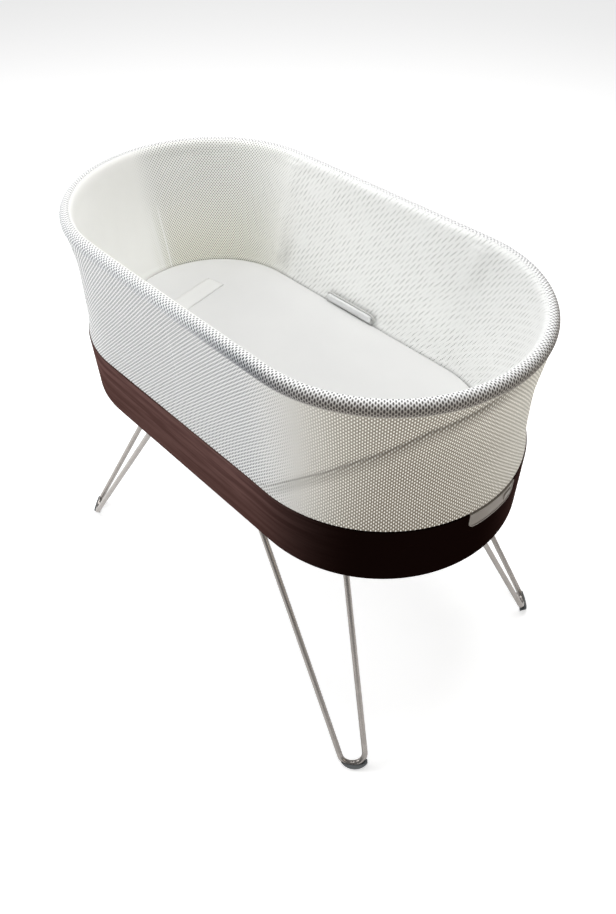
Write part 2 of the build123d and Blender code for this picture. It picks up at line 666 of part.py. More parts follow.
# Pinion and its shaft, with a gap between teeth turned towards the sector
with BuildPart() as drive_pinion:
    with BuildSketch(Plane(origin=(MOTOR_X, 0, GEAR_BOTTOM - 1))):
        pinion_root = PINION_PITCH_R - 1.25 * MODULE
        Circle(pinion_root)
        for tooth in range(PINION_TEETH):
            with BuildLine():
                turn = 2 * pi * (tooth + 0.5) / PINION_TEETH
                tip_r = PINION_PITCH_R + 0.9 * MODULE
                Polyline(*tooth_points(turn, PINION_TEETH, tip_r, pinion_root), close=True)
            make_face()
    extrude(amount=GEAR_THICK + 2)
    with BuildSketch(Plane(origin=(MOTOR_X, 0, MOTOR_TOP - 18))):
        Circle(AXLE_R)
    extrude(amount=GEAR_BOTTOM - MOTOR_TOP + 30)
drive_pinion.part.label = "drive_pinion"
export_step(drive_pinion.part, "parts/drive_pinion.step")

# Motor can with a bored nose for the shaft
with BuildPart() as motor:
    with BuildSketch(Plane(origin=(MOTOR_X, 0, MOTOR_BOTTOM))):
        Circle(MOTOR_R)
    extrude(amount=MOTOR_TOP - MOTOR_BOTTOM)
    fillet(motor.edges().group_by(Axis.Z)[-1], 2)
    with BuildSketch(Plane(origin=(MOTOR_X, 0, MOTOR_TOP))):
        Circle(7)
    extrude(amount=2.5)
    with BuildSketch(Plane(origin=(MOTOR_X, 0, MOTOR_TOP - 18.1))):
        Circle(AXLE_R + RUNNING_GAP)
    extrude(amount=30, mode=Mode.SUBTRACT)
    with BuildSketch(Plane(origin=(MOTOR_X, 0, MOTOR_BOTTOM + 8))):
        Circle(MOTOR_R + 1)
        Circle(MOTOR_R - 0.8, mode=Mode.SUBTRACT)
    extrude(amount=1.5, mode=Mode.SUBTRACT)
motor.part.label = "motor"
export_step(motor.part, "parts/motor.step")

# Motor bracket: base plate and a ring round the foot of the can
with BuildPart() as motor_bracket:
    with BuildSketch(Plane(origin=(MOTOR_X, 0, PAN_TOP + 0.02))):
        RectangleRounded(62, 62, 5)
        with GridLocations(52, 52, 2, 2):
            Circle(2.1, mode=Mode.SUBTRACT)
    extrude(amount=MOTOR_BOTTOM - PAN_TOP - 0.04)
    with BuildSketch(Plane(origin=(MOTOR_X, 0, MOTOR_BOTTOM - 0.5))):
        Circle(MOTOR_R + 3.5)
        Circle(MOTOR_R + 0.05, mode=Mode.SUBTRACT)
    extrude(amount=8)
motor_bracket.part.label = "motor_bracket"
export_step(motor_bracket.part, "parts/motor_bracket.step")

# Forked brackets for the four rollers, their axles across the fork
with BuildPart() as roller_brackets:
    for angle in ROLLER_ANGLES:
        centre = (TRACK_R * cos(radians(angle)), TRACK_R * sin(radians(angle)), PAN_TOP + 0.02)
        outward = (cos(radians(angle)), sin(radians(angle)), 0)
        with BuildSketch(Plane(origin=centre, x_dir=outward)):
            RectangleRounded(24, 44, 3)
            with Locations((0, -15.9), (0, 15.9)):
                Circle(2.1, mode=Mode.SUBTRACT)
        extrude(amount=2.98)
        cheeks = Plane(origin=(centre[0], centre[1], PAN_TOP + 3), x_dir=outward)
        with BuildSketch(cheeks):
            with Locations((-7.2, 0), (7.2, 0)):
                Rectangle(3, 20)
        extrude(amount=ROLLER_Z - PAN_TOP + 3)
        with Locations(Location((centre[0], centre[1], ROLLER_Z), (0, 0, angle))):
            Cylinder(AXLE_R + 0.01, 40, rotation=(0, 90, 0), mode=Mode.SUBTRACT)
roller_brackets.part.label = "roller_brackets"
export_step(roller_brackets.part, "parts/roller_brackets.step")

with BuildPart() as roller_axles:
    for angle in ROLLER_ANGLES:
        centre = (TRACK_R * cos(radians(angle)), TRACK_R * sin(radians(angle)), ROLLER_Z)
        with Locations(Location(centre, (0, 0, angle))):
            Cylinder(AXLE_R, 21, rotation=(0, 90, 0))
roller_axles.part.label = "roller_axles"
export_step(roller_axles.part, "parts/roller_axles.step")

# Rollers
for name, (sx, sy) in CORNERS.items():
    offset = TRACK_R / sqrt(2)
    outward = 45 * sy if sx > 0 else 180 - 45 * sy
    with BuildPart() as roller:
        with Locations(Location((offset * sx, offset * sy, ROLLER_Z), (0, 0, outward))):
            Cylinder(ROLLER_R, ROLLER_WIDTH, rotation=(0, 90, 0))
            fillet(roller.edges(), 0.8)
            Cylinder(AXLE_R + RUNNING_GAP, 20, rotation=(0, 90, 0), mode=Mode.SUBTRACT)
    roller.part.label = f"roller_{name}"
    export_step(roller.part, f"parts/roller_{name}.step")

# Mattress, a flat pad with softened edges
with BuildPart() as mattress:
    with BuildSketch(Plane.XY.offset(MATTRESS_BOTTOM)):
        plan_outline(MATTRESS_R)
    extrude(amount=MATTRESS_TOP - MATTRESS_BOTTOM)
    fillet(mattress.edges().group_by(Axis.Z)[-1], 4)
mattress.part.label = "mattress"
export_step(mattress.part, "parts/mattress.step")

# Sewn strap across the head end of the mattress
STRAP_X = -267.0
STRAP_WIDTH = 44.0
STRAP_LENGTH = 116.0
STRAP_THICK = 1.2

with BuildPart() as mattress_strap:
    with BuildSketch(Plane(origin=(STRAP_X, 0, MATTRESS_TOP + 0.05))):
        RectangleRounded(STRAP_WIDTH, STRAP_LENGTH, 2)
    extrude(amount=STRAP_THICK)
mattress_strap.part.label = "mattress_strap"
export_step(mattress_strap.part, "parts/mattress_strap.step")

# Skirt of the liner round the tray and the mattress
with BuildPart() as liner_skirt:
    with BuildSketch(Plane.XY.offset(SKIRT_BOTTOM)):
        plan_outline(SKIRT_INNER_R + MESH_THICK)
        with BuildSketch(mode=Mode.SUBTRACT):
            plan_outline(SKIRT_INNER_R)
    extrude(amount=SKIRT_TOP - SKIRT_BOTTOM)
liner_skirt.part.label = "liner_skirt"
export_step(liner_skirt.part, "parts/liner_skirt.step")

# ---------------------------------------------------------------- side clips

CLIP_X = -18.0
CLIP_HALF = 56.0
CLIP_AXIS_Y = 167.6
CLIP_AXIS_Z = 570.1
CLIP_BAR_R = 2.6
CLIP_BAR_TOP = 582.0
CLIP_BAR_CORNER = 7.4
CLIP_PIN_R = 1.0
FRAME_INNER_Y = 170.4
FRAME_OUTER_Y = 172.2
FRAME_WIDTH = 122.0
FRAME_BOTTOM = 566.4
FRAME_TOP = 583.8
FRAME_FOOT_WIDTH = 50.0
EAR_THICK = 2.0
EAR_GAP = 0.2
GROOVE_LENGTH = 48.0


def clip_front(side, y):
    """A plane facing the mattress at a distance y from the middle, with its origin on the clip."""
    return Plane(origin=(CLIP_X, side * y, 0), x_dir=(side, 0, 0), z_dir=(0, -side, 0))


# Steel frames: a foot under the mattress, a stem up its edge and a rounded back plate with two ears
for name, side in SIDES.items():
    foot_depth = 22.2
    ear_x = CLIP_HALF + EAR_GAP + EAR_THICK / 2
    with BuildPart() as clip_frame:
        with BuildSketch(clip_front(side, FRAME_OUTER_Y)):
            with Locations((0, (FRAME_BOTTOM + FRAME_TOP) / 2)):
                RectangleRounded(FRAME_WIDTH, FRAME_TOP - FRAME_BOTTOM, 8)
            with Locations((0, TRAY_TOP + 0.02)):
                Rectangle(FRAME_FOOT_WIDTH, 40, align=(Align.CENTER, Align.MIN))
        extrude(amount=FRAME_OUTER_Y - FRAME_INNER_Y)
        with BuildSketch(Plane(origin=(CLIP_X, side * (FRAME_OUTER_Y - foot_depth / 2), TRAY_TOP + 0.02))):
            Rectangle(FRAME_FOOT_WIDTH, foot_depth)
        extrude(amount=1.2)
        with BuildSketch(Plane(origin=(CLIP_X, side * (CLIP_AXIS_Y + 0.6), CLIP_AXIS_Z - 2.3))):
            with Locations((-ear_x, 0), (ear_x, 0)):
                Rectangle(EAR_THICK, 6)
        extrude(amount=4.8)
        with Locations((CLIP_X, side * CLIP_AXIS_Y, CLIP_AXIS_Z)):
            Cylinder(CLIP_PIN_R + 0.02, FRAME_WIDTH, rotation=(0, 90, 0), mode=Mode.SUBTRACT)
    clip_frame.part.label = f"clip_frame_{name}"
    export_step(clip_frame.part, f"parts/clip_frame_{name}.step")

# Clip bars: long rounded jaws with two shallow grooves, which tip towards the mattress
for name, side in SIDES.items():
    rise = CLIP_BAR_TOP - CLIP_AXIS_Z - CLIP_BAR_R
    end_face = Plane(
        origin=(CLIP_X - CLIP_HALF, side * CLIP_AXIS_Y, CLIP_AXIS_Z), x_dir=(0, 1, 0), z_dir=(1, 0, 0)
    )
    with BuildPart() as clip_bar:
        with BuildSketch(end_face):
            with Locations((0, rise / 2)):
                SlotCenterToCenter(rise, 2 * CLIP_BAR_R, rotation=90)
        extrude(amount=2 * CLIP_HALF)
        with BuildSketch(clip_front(side, CLIP_AXIS_Y + 8)):
            with Locations((0, CLIP_AXIS_Z + rise / 2)):
                Rectangle(200, 60)
                RectangleRounded(
                    2 * CLIP_HALF, rise + 2 * CLIP_BAR_R + 0.6, CLIP_BAR_CORNER, mode=Mode.SUBTRACT
                )
        extrude(amount=20, mode=Mode.SUBTRACT)
        with Locations((CLIP_X, side * CLIP_AXIS_Y, CLIP_AXIS_Z)):
            Cylinder(CLIP_PIN_R + RUNNING_GAP, FRAME_WIDTH, rotation=(0, 90, 0), mode=Mode.SUBTRACT)
        with BuildSketch(clip_front(side, CLIP_AXIS_Y - CLIP_BAR_R)):
            with Locations((3 * side, CLIP_AXIS_Z + 0.5), (3 * side, CLIP_AXIS_Z + 2.9)):
                SlotOverall(GROOVE_LENGTH, 1.0)
        extrude(amount=-0.8, mode=Mode.SUBTRACT)
    clip_bar.part.label = f"clip_bar_{name}"
    export_step(clip_bar.part, f"parts/clip_bar_{name}.step")

# Hinge pins of the two clips
with BuildPart() as clip_pins:
    with Locations((CLIP_X, -CLIP_AXIS_Y, CLIP_AXIS_Z), (CLIP_X, CLIP_AXIS_Y, CLIP_AXIS_Z)):
        Cylinder(CLIP_PIN_R, FRAME_WIDTH - 4, rotation=(0, 90, 0))
clip_pins.part.label = "clip_pins"
export_step(clip_pins.part, "parts/clip_pins.step")

# ---------------------------------------------------------------- control strip and electrics


BUTTON_OUT = (cos(radians(BUTTON_ANGLE)), sin(radians(BUTTON_ANGLE)), 0)


def button_plane(reach):
    """Plane across the button's travel at one distance from the middle of the round end."""
    centre = (HALF_STRAIGHT + reach * BUTTON_OUT[0], reach * BUTTON_OUT[1], BUTTON_Z)
    return Plane(origin=centre, x_dir=(-BUTTON_OUT[1], BUTTON_OUT[0], 0), z_dir=BUTTON_OUT)


# Curved fascia with a raised border, set into the band's notch
with BuildPart() as control_fascia:
    with BuildSketch(Plane.YZ.offset(HALF_STRAIGHT + 200)):
        make_face(fascia_outline(0, FASCIA_CORNER, FASCIA_TOP))
    extrude(amount=60)
    with BuildSketch(Plane(origin=(HALF_STRAIGHT, 0, FASCIA_BOTTOM - 5))):
        Circle(300)
        Circle(FASCIA_OUTER_R, mode=Mode.SUBTRACT)
        Circle(229.5)
    extrude(amount=50, mode=Mode.SUBTRACT)
    with BuildSketch(Plane.YZ.offset(HALF_STRAIGHT + 200)):
        make_face(fascia_outline(FASCIA_BORDER, FASCIA_CORNER - FASCIA_BORDER, FASCIA_TOP - FASCIA_BORDER))
    cut_panel = extrude(amount=60, mode=Mode.PRIVATE)
    with BuildSketch(Plane(origin=(HALF_STRAIGHT, 0, FASCIA_BOTTOM - 5)), mode=Mode.PRIVATE) as relief:
        Circle(250)
        Circle(FASCIA_OUTER_R - 0.7, mode=Mode.SUBTRACT)
    cut_relief = extrude(relief.sketch, amount=50, mode=Mode.PRIVATE)
    add(cut_panel & cut_relief, mode=Mode.SUBTRACT)
    with BuildSketch(button_plane(220)):
        RectangleRounded(BUTTON_WIDTH + 0.5, BUTTON_HEIGHT + 0.5, 3.2)
    extrude(amount=30, mode=Mode.SUBTRACT)
    with BuildSketch(Plane.YZ.offset(HALF_STRAIGHT + 214.8)):
        with Locations((-40, 535), (4, 535)):
            Circle(3)
    extrude(amount=16)
control_fascia.part.label = "control_fascia"
export_step(control_fascia.part, "parts/control_fascia.step")

# Power button: cap, flange behind the fascia and a stem
with BuildPart() as power_button:
    with BuildSketch(button_plane(228.5)):
        RectangleRounded(BUTTON_WIDTH, BUTTON_HEIGHT, 3)
    extrude(amount=9.6)
    fillet(power_button.faces().sort_by(Axis.X)[-1].edges(), 0.6)
    with BuildSketch(button_plane(226.5)):
        RectangleRounded(BUTTON_WIDTH + 4, BUTTON_HEIGHT + 4, 3)
    extrude(amount=2)
    with BuildSketch(button_plane(221.6)):
        Circle(2)
    extrude(amount=5)
power_button.part.label = "power_button"
export_step(power_button.part, "parts/power_button.step")

# Control board behind the fascia, with the switch under the button's stem
with BuildPart() as control_board:
    with BuildSketch(Plane.YZ.offset(HALF_STRAIGHT + 213.2)):
        with Locations((0, 535)):
            RectangleRounded(98, 26, 2)
    extrude(amount=1.6)
    with BuildSketch(Plane.YZ.offset(HALF_STRAIGHT + 214.7)):
        with Locations((221 * BUTTON_OUT[1], BUTTON_Z)):
            Rectangle(6, 6)
    extrude(amount=2.5)
control_board.part.label = "control_board"
export_step(control_board.part, "parts/control_board.step")

# Main circuit board on its four posts
with BuildPart() as main_board:
    with BuildSketch(Plane(origin=(-300, 0, PAN_TOP + 8))):
        RectangleRounded(120, 70, 3)
    extrude(amount=1.6)
    with BuildSketch(Plane(origin=(-300, 0, PAN_TOP + 9.5))):
        with Locations((-20, 0)):
            Rectangle(18, 18)
        with Locations((25, 15)):
            Rectangle(12, 8)
    extrude(amount=2)
    with BuildSketch(Plane(origin=(-300, 0, PAN_TOP + 9.5))):
        with Locations((35, -20), (20, -20)):
            Circle(5)
    extrude(amount=12)
main_board.part.label = "main_board"
export_step(main_board.part, "parts/main_board.step")

with BuildPart() as board_posts:
    with BuildSketch(Plane(origin=(-300, 0, PAN_TOP + 0.02))):
        with GridLocations(106, 56, 2, 2):
            Circle(3)
    extrude(amount=7.96)
board_posts.part.label = "board_posts"
export_step(board_posts.part, "parts/board_posts.step")

# Power inlet in the floor pan, its socket facing down
with BuildPart() as power_inlet:
    with BuildSketch(Plane(origin=(-380, 0, PAN_BOTTOM - 2.02))):
        Circle(9)
    extrude(amount=2)
    with BuildSketch(Plane(origin=(-380, 0, PAN_BOTTOM - 0.1))):
        Circle(6)
    extrude(amount=14)
    with BuildSketch(Plane(origin=(-380, 0, PAN_TOP + 0.02))):
        RegularPolygon(9, 6)
    extrude(amount=2.5)
    with BuildSketch(Plane(origin=(-380, 0, PAN_BOTTOM - 2.02))):
        Circle(2.8)
        Circle(1.0, mode=Mode.SUBTRACT)
    extrude(amount=9.5, mode=Mode.SUBTRACT)
power_inlet.part.label = "power_inlet"
export_step(power_inlet.part, "parts/power_inlet.step")

# Speaker over the sound slots: basket with its magnet, and the cone inside
with BuildPart() as speaker:
    with BuildSketch(Plane(origin=(300, 0, PAN_TOP + 0.02))):
        Circle(38)
        Circle(30, mode=Mode.SUBTRACT)
    extrude(amount=2.5)
    with BuildSketch(Plane(origin=(300, 0, PAN_TOP + 2.5))):
        Circle(33)
    extrude(amount=15, taper=30)
    with BuildSketch(Plane(origin=(300, 0, PAN_TOP + 17))):
        Circle(17)
    extrude(amount=12)
    with BuildSketch(Plane(origin=(300, 0, PAN_TOP))):
        Circle(30)
    extrude(amount=14, taper=30, mode=Mode.SUBTRACT)
speaker.part.label = "speaker"
export_step(speaker.part, "parts/speaker.step")

with BuildPart() as speaker_cone:
    with BuildSketch(Plane(origin=(300, 0, PAN_TOP + 1.5))):
        Circle(28)
    extrude(amount=10, taper=32)
    with BuildSketch(Plane(origin=(300, 0, PAN_TOP + 1.5))):
        Circle(26.8)
    extrude(amount=9, taper=32, mode=Mode.SUBTRACT)
speaker_cone.part.label = "speaker_cone"
export_step(speaker_cone.part, "parts/speaker_cone.step")
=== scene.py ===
import json
import math

import bpy
from mathutils import Matrix, Vector


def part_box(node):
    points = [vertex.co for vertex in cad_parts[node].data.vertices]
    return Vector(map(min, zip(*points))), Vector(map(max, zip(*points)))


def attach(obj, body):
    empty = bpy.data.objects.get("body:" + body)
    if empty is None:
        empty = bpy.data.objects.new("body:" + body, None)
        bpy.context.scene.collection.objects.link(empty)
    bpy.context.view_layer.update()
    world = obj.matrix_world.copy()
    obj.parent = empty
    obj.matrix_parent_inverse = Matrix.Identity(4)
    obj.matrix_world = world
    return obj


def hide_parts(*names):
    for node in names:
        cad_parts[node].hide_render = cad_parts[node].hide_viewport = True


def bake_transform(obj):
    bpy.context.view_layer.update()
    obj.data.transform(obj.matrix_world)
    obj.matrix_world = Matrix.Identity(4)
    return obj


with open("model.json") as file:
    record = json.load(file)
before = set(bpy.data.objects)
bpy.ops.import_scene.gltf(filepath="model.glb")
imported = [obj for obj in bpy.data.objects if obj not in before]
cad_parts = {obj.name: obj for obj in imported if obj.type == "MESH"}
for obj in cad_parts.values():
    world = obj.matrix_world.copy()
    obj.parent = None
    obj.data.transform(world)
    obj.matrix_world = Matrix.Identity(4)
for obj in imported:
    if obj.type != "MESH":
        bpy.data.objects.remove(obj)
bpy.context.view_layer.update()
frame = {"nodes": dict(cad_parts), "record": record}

MM = 0.001

# ---------------------------------------------------------------- plan of the basket
# The basket is a stadium in plan: two straight sides joined by half circles. A point round it
# is given by s, the distance along the plan from the middle of the near side, towards the foot
# end, measured at the radius PLAN_R. Every wall follows the same s.
rim_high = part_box("outer_mesh")[1]
pad_low, pad_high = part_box("mattress")
strap_low, strap_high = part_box("mattress_strap")

HALF = rim_high.x - rim_high.y
PLAN_R = 236 * MM
ARC = math.pi * PLAN_R
PERIMETER = 4 * HALF + 2 * ARC

# The padded rim is a round roll, just inside the CAD rim's outer and upper faces.
ROLL_RADIUS = 10.8 * MM
ROLL_GAP = 0.2 * MM
ROLL_R = rim_high.y - ROLL_RADIUS - ROLL_GAP
ROLL_Z = rim_high.z - ROLL_RADIUS - ROLL_GAP
JOIN_ANGLE = 116.0
UNDER_ANGLE = -38.0

# The rim is a little flatter than its hoop at the near side of the head end.
FLAT_S = 2.02
FLAT_WIDTH = 0.15
FLAT_DEPTH = 4.5 * MM


def plan(s):
    """The middle point's x and the outward direction at s."""
    s = s % PERIMETER
    if s < HALF:
        return s, 0.0, -1.0
    s -= HALF
    if s < ARC:
        angle = s / PLAN_R
        return HALF, math.sin(angle), -math.cos(angle)
    s -= ARC
    if s < 2 * HALF:
        return HALF - s, 0.0, 1.0
    s -= 2 * HALF
    if s < ARC:
        angle = s / PLAN_R
        return -HALF, -math.sin(angle), math.cos(angle)
    return s - ARC - HALF, 0.0, -1.0


def on_plan(s, radius, z):
    middle, nx, ny = plan(s)
    return Vector((middle + radius * nx, radius * ny, z))


def bell(value, width):
    """1 at zero, falling smoothly to nothing at about twice the width."""
    return math.exp(-(value / width) ** 2)


def ease(value, low, high):
    """0 below low, 1 above high, and smooth between them."""
    t = min(1.0, max(0.0, (value - low) / (high - low)))
    return t * t * (3 - 2 * t)


def fade(value, low, high):
    """1 below low, 0 above high, and smooth between them."""
    return ease(-value, -high, -low)


def along(points, value):
    """The second number of a list of pairs, read on straight lines at a first number."""
    if value <= points[0][0]:
        return points[0][1]
    for (x0, y0), (x1, y1) in zip(points, points[1:]):
        if value <= x1:
            return y0 + (y1 - y0) * (value - x0) / (x1 - x0)
    return points[-1][1]


def spline(points, steps):
    """A smooth line through a few points, with steps points between each pair."""
    ends = [points[0]] + list(points) + [points[-1]]
    line = []
    for a, b, c, d in zip(ends, ends[1:], ends[2:], ends[3:]):
        for k in range(steps):
            t = k / steps
            line.append(tuple(
                0.5 * (2 * q + (r - p) * t + (2 * p - 5 * q + 4 * r - w) * t ** 2
                       + (3 * q - p - 3 * r + w) * t ** 3)
                for p, q, r, w in zip(a, b, c, d)))
    line.append(tuple(points[-1]))
    return line


def lengths(line, zero):
    """The distance along a line of points, counted from its point number zero."""
    total = [0.0]
    for p, q in zip(line, line[1:]):
        total.append(total[-1] + math.dist(p, q))
    return [t - total[zero] for t in total]


def roll_point(angle, out=0.0):
    """A point of the padded rim's section, with 0 degrees on its outer side and 90 on top."""
    a = math.radians(angle)
    return ROLL_R + (ROLL_RADIUS + out) * math.cos(a), ROLL_Z + (ROLL_RADIUS + out) * math.sin(a)


def rim_shift(s):
    """How far the rim and all that hangs from it stand in from the plain plan."""
    return -FLAT_DEPTH * bell(s - FLAT_S, FLAT_WIDTH)


# ---------------------------------------------------------------- mesh helpers
def add_object(name, verts, faces, uvs=None):
    mesh = bpy.data.meshes.new(name)
    mesh.from_pydata([tuple(v) for v in verts], [], faces)
    if uvs:
        layer = mesh.uv_layers.new(name="UVMap")
        for loop, uv in zip(layer.data, uvs):
            loop.uv = uv
    mesh.update()
    for polygon in mesh.polygons:
        polygon.use_smooth = True
    obj = bpy.data.objects.new(name, mesh)
    bpy.context.scene.collection.objects.link(obj)
    return obj


def grid_object(name, rows, us, vs, closed=True):
    """A surface through rows[i][j]. us and vs are the texture distances. It may close over i."""
    count, depth = len(rows), len(rows[0])
    verts = [p for row in rows for p in row]
    faces, uvs = [], []
    for i in range(count if closed else count - 1):
        k = (i + 1) % count
        for j in range(depth - 1):
            faces.append((i * depth + j, k * depth + j, k * depth + j + 1, i * depth + j + 1))
            uvs += [(us[i], vs[j]), (us[i + 1], vs[j]), (us[i + 1], vs[j + 1]), (us[i], vs[j + 1])]
    return add_object(name, verts, faces, uvs)


def wall_object(name, columns, line, vs, shape):
    """A wall round the basket: line is its section, and shape says how far a point is moved out."""
    rows = [[on_plan(s, r + shape(s, z), z) for r, z in line] for s in columns]
    return grid_object(name, rows, columns + [PERIMETER], vs)


def even_columns(count):
    return [PERIMETER * k / count for k in range(count)]


def add_tones(obj, columns, line, **tones):
    """Numbers at each point of a wall, one set for each tone, which its material reads by name."""
    for name, tone in tones.items():
        layer = obj.data.attributes.new(name, "FLOAT", "POINT")
        places = [(s, z) for s in columns for r, z in line]
        for item, (s, z) in zip(layer.data, places):
            item.value = tone(s, z)


def thicken(obj, thickness, offset=-1.0):
    modifier = obj.modifiers.new("thickness", "SOLIDIFY")
    modifier.thickness = thickness
    modifier.offset = offset
    return obj


def finish_piece(obj, body, slot, *replaced):
    """Gives a piece its slot's material and its body. A blended piece has no body of its own."""
    obj.data.materials.clear()
    obj.data.materials.append(slot_looks[slot])
    if body:
        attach(obj, body)
    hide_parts(*replaced)


# ---------------------------------------------------------------- material helpers
class Look:
    """One material, built from nodes. A socket's name is given with _ for each space."""

    def __init__(self, name, **sockets):
        self.material = bpy.data.materials.new(name)
        self.material.use_nodes = True
        self.tree = self.material.node_tree
        self.bsdf = self.tree.nodes["Principled BSDF"]
        self.shader(**sockets)

    def shader(self, **sockets):
        for key, value in sockets.items():
            self.plug(self.bsdf.inputs[key.replace("_", " ")], value)

    def plug(self, socket, value):
        if isinstance(value, bpy.types.NodeSocket):
            self.tree.links.new(value, socket)
        elif socket.type == "RGBA" and len(value) == 3:
            socket.default_value = (*value, 1.0)
        else:
            socket.default_value = value

    def node(self, kind, values=(), **settings):
        made = self.tree.nodes.new(kind)
        for key, value in settings.items():
            setattr(made, key, value)
        for key, value in values:
            self.plug(made.inputs[key], value)
        return made

    def math(self, operation, *values):
        return self.node("ShaderNodeMath", enumerate(values), operation=operation).outputs[0]

    def product(self, first, *others):
        for other in others:
            first = self.math("MULTIPLY", first, other)
        return first

    def sum(self, a, b):
        return self.math("ADD", a, b)

    def less(self, a, b):
        return self.math("SUBTRACT", a, b)

    def apart(self, a, b):
        return self.math("ABSOLUTE", self.less(a, b))

    def most(self, a, b):
        return self.math("MAXIMUM", a, b)

    def ramp(self, value, low, high, to_low=0.0, to_high=1.0):
        values = enumerate((value, low, high, to_low, to_high))
        return self.node("ShaderNodeMapRange", values, interpolation_type="SMOOTHSTEP").outputs[0]

    def mix(self, factor, a, b):
        """The colour a where the factor is 0, and b where it is 1."""
        values = ((0, factor), (6, a), (7, b))
        return self.node("ShaderNodeMix", values, data_type="RGBA").outputs[2]

    def scaled(self, vector, scale):
        values = ((0, vector), (1, scale))
        return self.node("ShaderNodeVectorMath", values, operation="MULTIPLY").outputs[0]

    def noise(self, vector, scale, detail=2.0, roughness=0.5):
        values = (("Vector", vector), ("Scale", scale), ("Detail", detail), ("Roughness", roughness))
        return self.node("ShaderNodeTexNoise", values).outputs["Fac"]

    def split(self, vector):
        return self.node("ShaderNodeSeparateXYZ", ((0, vector),)).outputs

    def uv(self):
        return self.split(self.node("ShaderNodeUVMap").outputs[0])[:2]

    def tone(self, name):
        return self.node("ShaderNodeAttribute", attribute_name=name).outputs["Fac"]

    def place(self):
        return self.node("ShaderNodeTexCoord").outputs["Object"]

    def bump(self, height, distance, strength=1.0):
        values = (("Height", height), ("Distance", distance), ("Strength", strength))
        self.shader(Normal=self.node("ShaderNodeBump", values).outputs[0])

    def holes(self, u, v, spacing, half_size):
        """The distance to the nearest hole's middle, 1 at its edge, in staggered rows of holes."""
        pitch, rise = spacing
        half_width, half_height = half_size
        across = self.math("PINGPONG", u, pitch / 2)
        down = self.math("PINGPONG", v, rise / 2)
        nearest = []
        for flip in (False, True):
            x = self.less(pitch / 2, across) if flip else across
            y = self.less(rise / 2, down) if flip else down
            x = self.math("DIVIDE", x, half_width)
            y = self.math("DIVIDE", y, half_height)
            squares = self.sum(self.product(x, x), self.product(y, y))
            nearest.append(self.math("SQRT", squares))
        return self.math("MINIMUM", *nearest)


# ---------------------------------------------------------------- materials
# Spacings are the pitch across and the rise down. Holes are given by half their width and height.
HOLES_ROUND = 332
KNIT_SPACING = (PERIMETER / HOLES_ROUND, 6.4 * MM)
KNIT_HOLE = (1.15 * MM, 2.05 * MM)
LATTICE_SPACING = (6.2 * MM, 6.2 * MM)
LATTICE_HOLE = (1.0 * MM, 1.05 * MM)
ROW_SPACING = (13.0 * MM, 24.0 * MM)
ROW_HOLE = (0.85 * MM, 10.0 * MM)
ROW_COS, ROW_SIN = 0.83, 0.55
ROW_STITCH = 1.9 * MM
SEAM_ANGLE = 81
SEAM_S = HALF * 3 + ARC + PLAN_R * math.radians(SEAM_ANGLE)
TUCK_S = SEAM_S + 24 * MM
FOLD_SHADE = 6 * MM


